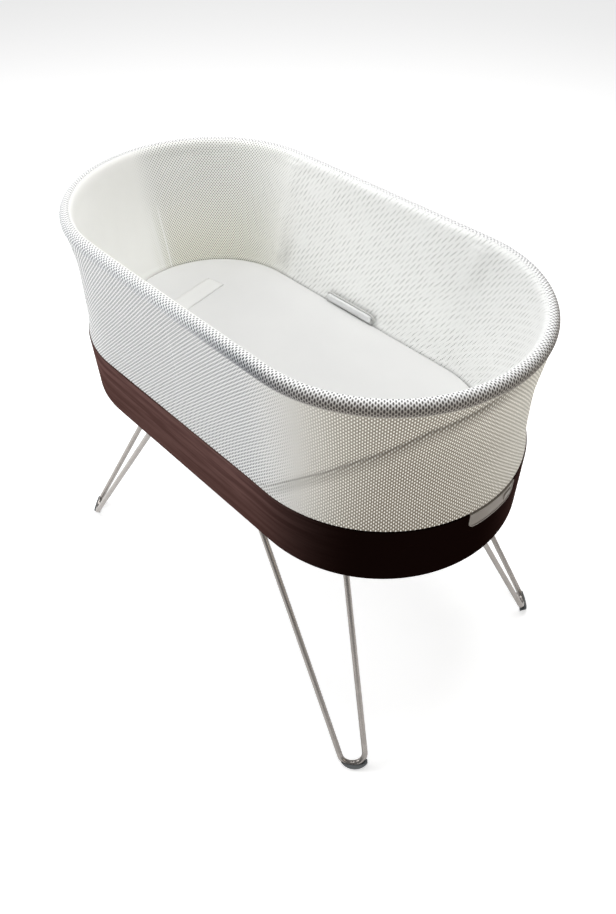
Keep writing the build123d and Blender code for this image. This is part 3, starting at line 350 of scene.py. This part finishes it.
def knit_look():
    """Open spacer knit: white yarn, with the grey foam or the bright liner painted into its holes; the
    bright liner is painted light, and painted shade lies over the foot end and under the rim there.

    v is 0 on the rim's outer side, negative over its top and positive down the wall.
    """
    look = Look("spacer_knit", Roughness=0.8, Specular_IOR_Level=0.1)
    u, v = look.uv()
    where = look.place()
    # The foot end, its darkest corner and the rim's underside get painted shade from these tones; the foot
    # end also gets painted light in its holes.
    warm, deep, shadow = look.tone("warm"), look.tone("deep"), look.tone("shadow")
    away, held = look.tone("away"), look.tone("held")
    on_wall = look.ramp(v, 6 * MM, 12 * MM)
    under = look.ramp(v, -16 * MM, -1 * MM)

    # the holes, which are smaller in the foot wall and larger where the rim's underside has painted shade
    wobble = look.product(look.noise(where, 60.0), 0.6 * MM)
    near = look.holes(look.sum(u, wobble), look.sum(v, wobble), KNIT_SPACING, KNIT_HOLE)
    width = look.ramp(v, -22 * MM, -8 * MM, 0.92, 1.10)
    width = look.less(width, look.product(warm, on_wall, 0.20))
    in_shade = look.product(shadow, under, look.less(1.0, on_wall))
    near = look.math("DIVIDE", near, look.sum(width, look.product(in_shade, 0.22)))
    hole = look.ramp(near, 0.72, 1.20, 1.0, 0.0)

    # the yarn on the wall and on the rim, with painted shade over the foot end and under the rim there
    yarn_patches = look.noise(where, 7.0, 3.0)
    yarn_side = look.mix(yarn_patches, (0.945, 0.945, 0.94), (0.98, 0.98, 0.975))
    yarn_end_in_painted_shade = look.mix(yarn_patches, (0.66, 0.64, 0.57), (0.72, 0.70, 0.64))
    yarn_deep = look.mix(yarn_patches, (0.31, 0.27, 0.215), (0.36, 0.32, 0.26))
    yarn_wall = look.mix(warm, yarn_side, look.mix(deep, yarn_end_in_painted_shade, yarn_deep))
    yarn_under_rim_painted_shade = look.mix(shadow, (0.92, 0.925, 0.935), (0.45, 0.46, 0.485))
    yarn_under_rim_painted_shade = look.mix(warm, yarn_under_rim_painted_shade, (0.44, 0.41, 0.37))
    yarn_rim = look.mix(under, (0.96, 0.96, 0.955), yarn_under_rim_painted_shade)
    yarn = look.mix(on_wall, yarn_rim, yarn_wall)

    # what shows in the holes, painted: the grey foam on the rim, with painted shade under it at the foot
    # end; on the wall painted shade at the sides and painted light at the foot end
    rim_hole = look.mix(shadow, (0.17, 0.18, 0.20), (0.065, 0.070, 0.080))
    rim_hole = look.mix(warm, rim_hole, (0.085, 0.075, 0.070))
    rim_hole = look.mix(look.ramp(v, -20 * MM, -9 * MM), (0.19, 0.19, 0.195), rim_hole)
    wall_hole = look.mix(warm, (0.185, 0.193, 0.205), (0.95, 0.93, 0.86))
    colour = look.mix(hole, yarn, look.mix(on_wall, rim_hole, wall_hole))

    # painted shade along the pulled fold: a dark line with a soft shade below it
    line = look.ramp(look.apart(away, 0.4 * MM), 0.2 * MM, 2.6 * MM, 0.50, 0.0)
    soft = look.ramp(look.apart(away, -FOLD_SHADE), 1 * MM, 16 * MM, 0.22, 0.0)
    painted_fold_shade = look.product(look.most(line, soft), held)
    look.shader(Base_Color=look.mix(painted_fold_shade, colour, (0.15, 0.135, 0.115)))

    # painted light: the holes of the foot wall glow as if lit from inside
    glow = look.product(hole, on_wall, warm, look.less(0.20, look.product(painted_fold_shade, 0.35)))
    look.shader(Emission_Color=(1.0, 0.97, 0.90), Emission_Strength=look.most(glow, 0.0))
    look.bump(look.ramp(near, 0.6, 1.8), 0.8 * MM, 0.7)
    return look.material


def liner_look():
    """Fine off-white knit: an even lattice of dots at the head end, short slanting rows elsewhere."""
    look = Look("liner_knit", Roughness=0.8, Specular_IOR_Level=0.1)
    u, v = look.uv()
    where = look.place()
    x, y, z = look.split(where)
    head = look.ramp(x, -0.34, -0.16, 1.0, 0.0)
    foot = look.ramp(x, 0.34, 0.42, 1.0, 0.30)
    beside = look.sum(look.product(x, 0.35), y)
    patterned = look.most(look.ramp(beside, -0.155, -0.085), look.ramp(x, 0.0, 0.2))

    # the lattice, and the rows with their stitches and worn stretches
    lattice = look.holes(u, v, LATTICE_SPACING, LATTICE_HOLE)
    lattice = look.product(look.ramp(lattice, 0.6, 1.5, 1.0, 0.0), look.sum(head, 0.10))
    across = look.less(look.product(u, ROW_COS), look.product(v, ROW_SIN))
    down = look.sum(look.product(u, ROW_SIN), look.product(v, ROW_COS))
    drift = look.product(look.noise(where, 28.0), 5 * MM)
    row = look.holes(look.sum(across, drift), down, ROW_SPACING, ROW_HOLE)
    stitch = look.ramp(look.math("PINGPONG", down, ROW_STITCH), 0.3 * MM, 1.5 * MM)
    worn = look.ramp(look.noise(where, 55.0), 0.30, 0.60, 0.25, 1.0)
    row = look.product(look.ramp(row, 0.6, 1.3, 1.0, 0.0), look.product(stitch, worn))
    row = look.product(row, look.less(1.0, head))
    strength = look.product(look.most(lattice, row), foot, patterned)

    # the yarn: painted shade makes it greyer at the foot end and painted light brighter at the head end and
    # in the plain part; it is warmer low down there
    yarn = look.mix(look.noise(where, 5.0, 3.0), (0.88, 0.89, 0.875), (0.92, 0.925, 0.91))
    yarn = look.mix(look.ramp(x, 0.12, 0.40), yarn, (0.77, 0.775, 0.765))
    yarn = look.mix(look.product(head, patterned), yarn, (0.985, 0.985, 0.955))
    yarn = look.mix(patterned, (0.99, 0.99, 0.96), yarn)
    low_head = look.product(head, look.ramp(z, 0.57, 0.74, 1.0, 0.0))
    yarn = look.mix(look.product(low_head, patterned), yarn, (0.88, 0.875, 0.78))
    colour = look.mix(strength, yarn, (0.16, 0.165, 0.15))

    # the upright seam, light, and the tuck beside it with a painted highlight
    seam = look.ramp(look.apart(u, SEAM_S), 0.8 * MM, 2.2 * MM, 0.85, 0.0)
    tuck_highlight = look.ramp(look.apart(u, TUCK_S), 2 * MM, 9 * MM, 0.4, 0.0)
    seam_and_painted_tuck_highlight = look.product(look.most(seam, tuck_highlight), look.ramp(z, 0.66, 0.70, 1.0, 0.0))
    colour = look.mix(seam_and_painted_tuck_highlight, colour, (0.98, 0.98, 0.96))
    # painted shade beside the post, where the liner lies against it
    look.shader(Base_Color=look.mix(look.tone("smudge"), colour, (0.35, 0.35, 0.33)))
    look.bump(lattice, 0.2 * MM, 0.5)
    return look.material


def cloth_look(name, low, high, pitch):
    """Plain woven cotton."""
    look = Look(name, Roughness=0.85, Specular_IOR_Level=0.15)
    look.shader(Sheen_Weight=0.2, Sheen_Roughness=0.5)
    where = look.place()
    x, y, z = look.split(where)
    warp = look.math("PINGPONG", x, pitch)
    weft = look.math("PINGPONG", y, pitch)
    weave = look.math("DIVIDE", look.most(warp, weft), pitch)
    look.shader(Base_Color=look.mix(look.noise(where, 9.0, 4.0), low, high))
    look.bump(look.sum(weave, look.noise(where, 40.0)), 0.15 * MM, 0.4)
    return look.material


def walnut_look():
    """Dark red-brown veneer with its grain running round the band, with painted shade making it nearly black
    at the foot end.
    """
    look = Look("walnut_veneer", Specular_IOR_Level=0.0)
    where = look.place()
    x, y, z = look.split(where)
    long_grain = look.noise(look.scaled(where, (5.0, 5.0, 90.0)), 1.0, 6.0, 0.6)
    pores = look.noise(look.scaled(where, (22.0, 22.0, 700.0)), 1.0, 3.0, 0.7)
    cloud = look.noise(look.scaled(where, (3.0, 3.0, 12.0)), 1.0, 3.0)
    base = look.mix(look.ramp(long_grain, 0.38, 0.62), (0.078, 0.038, 0.034), (0.150, 0.083, 0.075))
    base = look.mix(look.product(cloud, 0.4), base, (0.100, 0.052, 0.046))
    base = look.mix(look.ramp(z, 0.45, 0.545, 0.55, 0.0), base, (0.068, 0.033, 0.028))
    base = look.mix(look.ramp(pores, 0.60, 0.72, 0.0, 0.45), base, (0.045, 0.020, 0.016))
    # painted shade: the band goes nearly black towards the foot end
    along_band = look.less(x, look.product(y, 0.6))
    base = look.mix(look.ramp(along_band, 0.28, 0.475), base, (0.006, 0.0025, 0.002))
    look.shader(Base_Color=base, Roughness=look.ramp(pores, 0.3, 0.8, 0.40, 0.58))
    look.bump(pores, 0.08 * MM, 0.5)
    return look.material


def metal_look(name, colour, roughness):
    look = Look(name, Metallic=1.0)
    where = look.place()
    haze = look.noise(where, 40.0, 4.0, 0.6)
    look.shader(Base_Color=look.mix(haze, colour, tuple(0.82 * c for c in colour)))
    look.shader(Roughness=look.ramp(haze, 0.3, 0.7, roughness * 0.8, roughness * 1.2))
    look.bump(look.noise(where, 900.0, 2.0), 0.03 * MM, 0.3)
    return look.material


def moulded_look(name, colour, roughness, grain=1200.0, depth=0.03, level=0.5):
    look = Look(name, Specular_IOR_Level=level)
    where = look.place()
    haze = look.noise(where, 25.0, 3.0)
    look.shader(Base_Color=look.mix(haze, colour, tuple(0.90 * c for c in colour)))
    look.shader(Roughness=look.ramp(haze, 0.2, 0.8, roughness * 0.9, roughness * 1.1))
    look.bump(look.noise(where, grain, 1.0), depth * MM, 0.4)
    return look.material


def foam_look():
    look = Look("foam", Roughness=0.95, Specular_IOR_Level=0.1)
    cells = look.noise(look.place(), 700.0, 2.0, 0.7)
    look.shader(Base_Color=look.mix(cells, (0.05, 0.055, 0.06), (0.10, 0.11, 0.12)))
    look.bump(cells, 0.3 * MM, 0.8)
    return look.material


slot_looks = {
    "walnut": walnut_look(),
    "mesh_white": knit_look(),
    "liner_white": liner_look(),
    "foam_grey": foam_look(),
    "mattress_cloth": cloth_look("mattress_cotton", (0.64, 0.64, 0.635), (0.69, 0.69, 0.68), 0.4 * MM),
    "strap_white": cloth_look("strap_twill", (0.69, 0.69, 0.68), (0.73, 0.73, 0.715), 0.5 * MM),
    "steel_grey": metal_look("coated_steel", (0.42, 0.43, 0.44), 0.5),
    "zinc": metal_look("zinc_plate", (0.62, 0.63, 0.65), 0.35),
    "nickel": metal_look("satin_nickel", (0.36, 0.335, 0.315), 0.27),
    "cast_alloy": metal_look("cast_alloy", (0.50, 0.50, 0.51), 0.55),
    "boot_rubber": moulded_look("boot_rubber", (0.135, 0.145, 0.15), 0.6, 600.0, 0.06, 0.4),
    "white_plastic": moulded_look("white_plastic", (0.78, 0.79, 0.79), 0.4),
    "grey_plastic": moulded_look("grey_plastic", (0.60, 0.60, 0.585), 0.5),
    "fascia_plastic": moulded_look("fascia_plastic", (0.23, 0.20, 0.17), 0.55),
    "bush_plastic": moulded_look("bush_plastic", (0.75, 0.74, 0.70), 0.5),
    "black_plastic": moulded_look("black_plastic", (0.03, 0.03, 0.032), 0.45),
    "board_green": moulded_look("board_green", (0.03, 0.17, 0.07), 0.4),
    "cone_paper": moulded_look("cone_paper", (0.06, 0.06, 0.065), 0.8, 500.0, 0.1),
}
for part in frame["record"]["subparts"]:
    node_object = frame["nodes"][part["node"]]
    node_object.data.materials.clear()
    node_object.data.materials.append(slot_looks[part["material_slot"]])

# ---------------------------------------------------------------- outer knit cover
# The profiles hold radius and height in mm. The crease, a fold pulled across the foot end, holds
# s and height in metres, as do the functions below.
COVER_THICKNESS = 0.8 * MM
SEAM_SINK = 1.0 * MM
COVER_LIFT = 0.1 * MM
OVER_STEPS, UNDER_STEPS, WALL_STEPS = 16, 8, 9
WALL_PROFILE = [(236.6, 768.4), (235.9, 762.0), (233.6, 740.0), (230.4, 710.0), (228.2, 680.0),
                (227.6, 640.0), (228.2, 605.0), (230.2, 580.0), (232.6, 563.0), (234.1, 555.0)]
HEM_PROFILE = [(234.2, 552.4), (233.2, 551.4), (229.0, 551.2)]
CREASE = [(0.15, 0.545), (0.211, 0.563), (0.281, 0.622), (0.354, 0.676), (0.452, 0.737), (0.56, 0.770)]
CREASE_SLOPE = 0.8
CREASE_SINK, CREASE_LIP = 2.2 * MM, 2.0 * MM
WAVE = 1.5 * MM
FINE_STEP, COARSE_STEP = 3.0 * MM, 7.0 * MM
FINE_FROM, FINE_TO = 0.14, 0.64


def cover_profile():
    """From the seam on top of the rim, over its outer half, down the wall and in under the hem."""
    line = [roll_point(JOIN_ANGLE, -SEAM_SINK)]
    line += [roll_point(JOIN_ANGLE * (1 - k / OVER_STEPS), COVER_LIFT * (k > 0)) for k in range(OVER_STEPS)]
    outer_side = len(line)
    line += [roll_point(UNDER_ANGLE * k / UNDER_STEPS) for k in range(UNDER_STEPS + 1)]
    line += [(r * MM, z * MM) for r, z in spline(WALL_PROFILE, WALL_STEPS)]
    line += [(r * MM, z * MM) for r, z in HEM_PROFILE]
    return line, outer_side


def crease(s, z):
    """How far a point lies above the pulled fold, and how strong the fold is there."""
    return (z - along(CREASE, s)) * CREASE_SLOPE, ease(s, 0.15, 0.26) * fade(s, 0.52, 0.64)


def cover_shape(s, z):
    """How far the cloth stands out from its plain profile."""
    above_hem = ease(z, 0.553, 0.60)
    below_rim = ease(ROLL_Z - z, 0.012, 0.026)
    away, held = crease(s, z)
    above_fold = ease(away, -0.0045, 0.0045)
    out = rim_shift(s) * ease(z, 0.60, 0.70)
    out -= WAVE * bell(z - 0.72, 0.04) * bell(s - FLAT_S, FLAT_WIDTH)
    out += WAVE * math.sin(7.0 * s + 0.6) * bell(z - 0.68, 0.05) * above_hem
    out -= CREASE_SINK * math.exp(-max(0.0, away) / 0.016) * above_fold * held * above_hem
    out += CREASE_LIP * math.exp(min(0.0, away) / 0.022) * (1 - above_fold) * held * below_rim
    return out


def foot_end_painted_shade_and_light_tone(s, z):
    """Painted shade over the foot end, which hangs in the shade of the rim, and painted light in its holes.
    """
    return ease(s, 0.16, 0.36) * fade(s, 0.72, 0.98)


def shadow_tone(s, z):
    """The stretch of the rim whose underside is in shade."""
    return ease(s, 0.0, 0.24) * fade(s, 0.72, 0.98)


def deep_tone(s, z):
    """Painted shade: the darkest part of the foot end, round the corner and towards the band, darker lower
    down.
    """
    corner = 0.43
    width = 0.14 if s < corner else 0.20
    return min(1.0, bell(s - corner, width) * (1.0 + 0.8 * (0.68 - z)))


def away_tone(s, z):
    return crease(s, z)[0]


def held_tone(s, z):
    """The strength of the fold's painted shade, on the wall and the rim's lower half only."""
    return crease(s, z)[1] * (z < ROLL_Z)


def cover_columns():
    """Places round the plan, closer together where the crease runs."""
    places = [0.0]
    while places[-1] < PERIMETER - COARSE_STEP:
        places.append(places[-1] + (FINE_STEP if FINE_FROM < places[-1] < FINE_TO else COARSE_STEP))
    stretch = PERIMETER / (places[-1] + COARSE_STEP)
    return [p * stretch for p in places]


cover_line, cover_zero = cover_profile()
cover_v = lengths(cover_line, cover_zero)
cover_s = cover_columns()
cover = wall_object("outer_mesh_cover", cover_s, cover_line, cover_v, cover_shape)
add_tones(cover, cover_s, cover_line, warm=foot_end_painted_shade_and_light_tone, shadow=shadow_tone, deep=deep_tone,
          away=away_tone, held=held_tone)
thicken(cover, COVER_THICKNESS)
finish_piece(cover, "basket", "mesh_white", "outer_mesh")

# ---------------------------------------------------------------- foam sleeve in the rim
SLEEVE_R, SLEEVE_Z, SLEEVE_RADIUS = 227.8 * MM, 778.0 * MM, 9.0 * MM
SLEEVE_STEP = 15
SLEEVE_COLUMNS = 220
SLEEVE_FOLLOWS = 0.6


def sleeve_section():
    turns = [math.radians(a) for a in range(0, 361, SLEEVE_STEP)]
    return [(SLEEVE_R + SLEEVE_RADIUS * math.cos(a), SLEEVE_Z + SLEEVE_RADIUS * math.sin(a)) for a in turns]


def sleeve_shape(s, z):
    """The foam follows the cloth's flatter stretch in part."""
    return SLEEVE_FOLLOWS * rim_shift(s)


sleeve_line = sleeve_section()
sleeve_s = even_columns(SLEEVE_COLUMNS)
sleeve = wall_object("rim_sleeve", sleeve_s, sleeve_line, lengths(sleeve_line, 0), sleeve_shape)
finish_piece(sleeve, "basket", "foam_grey", "rim_foam")

# ---------------------------------------------------------------- inner knit liner
# The profiles hold radius and height in mm.
LINER_THICKNESS = 1.0 * MM
LINER_SINK = 0.3 * MM
LINER_TOP = [(220.3, 784.6), (217.7, 777.0), (215.7, 765.0)]
LINER_FOOT = [(177.2, 573.0), (175.4, 567.0), (173.8, 560.0), (173.3, 548.0), (173.3, 520.0)]
LINER_ROWS = 44
LINER_COLUMNS = 300
POST_PLACES = (HALF, HALF + ARC, 3 * HALF + ARC, 3 * HALF + 2 * ARC)
POST_S = POST_PLACES[2] + 0.012


def liner_profile():
    """Down from the seam on the rim, over the hoop, to the gap round the mattress."""
    start = roll_point(JOIN_ANGLE - 1, -LINER_SINK)
    points = spline([(start[0] / MM, start[1] / MM)] + LINER_TOP, 4)
    first, last = points[-1], LINER_FOOT[0]
    for k in range(1, LINER_ROWS):
        t = k / LINER_ROWS
        points.append((first[0] + (last[0] - first[0]) * t, first[1] + (last[1] - first[1]) * t))
    return [(r * MM, z * MM) for r, z in points + spline(LINER_FOOT, 3)]


def liner_shape(s, z):
    """The liner pulls a little between rim and mattress, and the posts behind it push it in."""
    free = ease(z, 0.575, 0.63) * fade(z, 0.73, 0.770)
    post_height = ease(z, 0.57, 0.60) * fade(z, 0.66, 0.72)
    post_tops = max(bell(s - place, 0.015) for place in POST_PLACES)
    out = 2.2 * MM * math.sin(math.pi * ease(z, 0.575, 0.77)) * free
    out -= 5.0 * MM * bell(s - POST_S, 0.013) * post_height
    out += 2.5 * MM * bell(s - POST_S + 0.03, 0.02) * bell(z - 0.605, 0.025)
    out += 1.2 * MM * math.sin(s * 21.0 + 1.0) * free
    out -= 2.6 * MM * post_tops * ease(z, 0.70, 0.74) * (z < 0.775)
    return out + rim_shift(s) * ease(z, 0.60, 0.76)


def smudge_tone(s, z):
    """Painted shade beside the post, where the liner lies against it."""
    return 0.22 * bell(s - POST_S + 0.022, 0.012) * bell(z - 0.60, 0.03) * (z < 0.66)


liner_line = liner_profile()
liner_v = lengths(liner_line, 0)
liner_s = even_columns(LINER_COLUMNS)
liner = wall_object("liner", liner_s, liner_line, liner_v, liner_shape)
add_tones(liner, liner_s, liner_line, smudge=smudge_tone)
thicken(liner, LINER_THICKNESS, 1.0)
finish_piece(liner, None, "liner_white", "inner_liner", "liner_skirt")
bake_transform(liner)

# ---------------------------------------------------------------- mattress
PAD_R = pad_high.y
PAD_HALF = pad_high.x - pad_high.y
PAD_COLUMNS = 240
PAD_EDGE = 5 * MM
PAD_FOOT = 7 * MM
PAD_SEAM_DEPTH, PAD_SEAM_HALF = 0.9 * MM, 2.0 * MM
PAD_CROWN = 0.3 * MM
PAD_INSETS = (9, 16, 30, 50, 80, 115, 150)


def pad_ring(radius, z):
    ring = []
    for k in range(PAD_COLUMNS):
        middle, nx, ny = plan(PERIMETER * k / PAD_COLUMNS)
        middle *= PAD_HALF / HALF
        ring.append(Vector((middle + radius * nx, radius * ny, z)))
    return ring


def pad_profile():
    """Round the lower edge, over the seam and the upper edge, and in over the crowned top."""
    top, low = pad_high.z, pad_low.z
    profile = [(PAD_R - PAD_FOOT, low)]
    for k in range(6):
        a = math.pi / 2 * k / 5
        profile.append((PAD_R - PAD_EDGE + PAD_EDGE * math.sin(a), low + PAD_EDGE - PAD_EDGE * math.cos(a)))
    seam = (top + low) / 2
    profile += [(PAD_R, seam - PAD_SEAM_HALF), (PAD_R - PAD_SEAM_DEPTH, seam), (PAD_R, seam + PAD_SEAM_HALF)]
    for k in range(7):
        a = math.pi / 2 * k / 6
        profile.append((PAD_R - PAD_EDGE + PAD_EDGE * math.cos(a), top - PAD_EDGE + PAD_EDGE * math.sin(a)))
    return profile + [(PAD_R - d * MM, top + PAD_CROWN * ease(d, 8, 60)) for d in PAD_INSETS]


def make_mattress():
    """A firm foam pad in a tight cotton cover: flat top, rolled edge and a seam round its side."""
    rings = [pad_ring(r, z) for r, z in pad_profile()]
    verts = [p for ring in rings for p in ring]
    faces = []
    for low in range(0, len(verts) - PAD_COLUMNS, PAD_COLUMNS):
        high = low + PAD_COLUMNS
        for k in range(PAD_COLUMNS):
            m = (k + 1) % PAD_COLUMNS
            faces.append((low + k, low + m, high + m, high + k))
    last = len(verts) - PAD_COLUMNS
    faces.append(tuple(reversed(range(PAD_COLUMNS))))
    faces.append(tuple(last + k for k in range(PAD_COLUMNS)))
    return add_object("mattress_pad", verts, faces)


mattress = make_mattress()
finish_piece(mattress, "platform", "mattress_cloth", "mattress")

# ---------------------------------------------------------------- strap
STRAP_TURN = math.radians(-11)
STRAP_THICKNESS = 0.8 * MM
STRAP_TRIM = (2 * MM, 6 * MM)
STRAP_REST = 0.35 * MM
STRAP_COLUMNS, STRAP_LINES = 45, 9


def strap_height(t, w):
    """How high the strap lies over the pad. t runs along it and w across it, from 0 to 1."""
    lift = 0.3 * MM * math.sin(math.pi * t) + 0.2 * MM
    sag = 0.12 * MM * math.sin(6 * math.pi * t + 2 * w)
    edge = 0.25 * MM * (2 * w - 1) ** 8
    return pad_high.z + STRAP_REST + lift + sag - edge


def make_strap():
    """A flat band sewn down near both ends, lying a little askew, with some slack between."""
    width = strap_high.x - strap_low.x - STRAP_TRIM[0]
    length = strap_high.y - strap_low.y - STRAP_TRIM[1]
    middle = (strap_low + strap_high) / 2
    cos, sin = math.cos(STRAP_TURN), math.sin(STRAP_TURN)
    ts = [i / (STRAP_COLUMNS - 1) for i in range(STRAP_COLUMNS)]
    ws = [j / (STRAP_LINES - 1) for j in range(STRAP_LINES)]
    rows = []
    for t in ts:
        b = (t - 0.5) * length
        row = []
        for w in ws:
            a = (w - 0.5) * width
            x, y = middle.x + a * cos + b * sin, middle.y - a * sin + b * cos
            row.append(Vector((x, y, strap_height(t, w))))
        rows.append(row)
    return grid_object("strap", rows, [length * t for t in ts], [width * w for w in ws], closed=False)


strap = thicken(make_strap(), STRAP_THICKNESS)
finish_piece(strap, "platform", "strap_white", "mattress_strap")

# ---------------------------------------------------------------- floor, light and camera
FLOOR_HALF = 6.0
FLOOR_DROP = 0.5 * MM
WORLD_STRENGTH = 0.28
BASKET_MIDDLE = (0, 0, 0.6)
WHITE, WARM_WHITE = (1, 1, 1), (1.0, 0.88, 0.72)
LIGHTS = [  # name, place, size, power and colour
    ("key", (-2.3, -1.7, 2.1), 2.2, 52.0, WHITE),
    ("back", (-0.8, 2.2, 2.4), 2.0, 10.0, WHITE),
    ("top", (-0.2, 0.2, 3.0), 1.6, 42.0, WHITE),
    ("warm", (2.4, 0.3, 1.0), 1.2, 4.0, WARM_WHITE),
]
CAMERA_AZIMUTH, CAMERA_ELEVATION, CAMERA_ROLL = 48.12, 44.99, -1.41
CAMERA_PLACE = (0.8307, -0.7052, 1.398)
CAMERA_SENSOR, CAMERA_LENS = 36.0, 30.376


def stage_floor():
    half = FLOOR_HALF
    floor = add_object("floor", [(-half, -half, 0), (half, -half, 0), (half, half, 0), (-half, half, 0)],
                       [(0, 1, 2, 3)])
    look = Look("floor_paint", Base_Color=(0.93, 0.93, 0.93), Roughness=0.9, Specular_IOR_Level=0.0)
    look.shader(Emission_Color=(1, 1, 1), Emission_Strength=0.5)
    floor.data.materials.append(look.material)
    floor.location.z = -FLOOR_DROP


def area_light(name, place, size, power, colour):
    data = bpy.data.lights.new(name, "AREA")
    data.shape = "DISK"
    data.size = size
    data.energy = power
    data.color = colour
    light = bpy.data.objects.new(name, data)
    light.location = place
    light.rotation_euler = (Vector(BASKET_MIDDLE) - Vector(place)).to_track_quat("-Z", "Y").to_euler()
    bpy.context.scene.collection.objects.link(light)


def world_light():
    world = bpy.data.worlds.new("studio")
    bpy.context.scene.world = world
    world.use_nodes = True
    background = world.node_tree.nodes["Background"]
    background.inputs["Color"].default_value = (1, 1, 1, 1)
    background.inputs["Strength"].default_value = WORLD_STRENGTH


def set_camera():
    azimuth, elevation = math.radians(CAMERA_AZIMUTH), math.radians(CAMERA_ELEVATION)
    roll = math.radians(CAMERA_ROLL)
    back = Vector((math.sin(azimuth) * math.cos(elevation), -math.cos(azimuth) * math.cos(elevation),
                   math.sin(elevation)))
    right = Vector((math.cos(azimuth), math.sin(azimuth), 0))
    up = back.cross(right)
    rolled_right = right * math.cos(roll) + up * math.sin(roll)
    rolled_up = up * math.cos(roll) - right * math.sin(roll)
    turn = Matrix((rolled_right, rolled_up, back)).transposed().to_4x4()
    data = bpy.data.cameras.new("camera")
    data.sensor_fit = "AUTO"
    data.sensor_width = CAMERA_SENSOR
    data.lens = CAMERA_LENS
    camera = bpy.data.objects.new("camera", data)
    camera.matrix_world = Matrix.Translation(CAMERA_PLACE) @ turn
    bpy.context.scene.collection.objects.link(camera)
    bpy.context.scene.camera = camera


stage_floor()
world_light()
for light_settings in LIGHTS:
    area_light(*light_settings)
set_camera()
bpy.context.scene.view_settings.view_transform = "Standard"
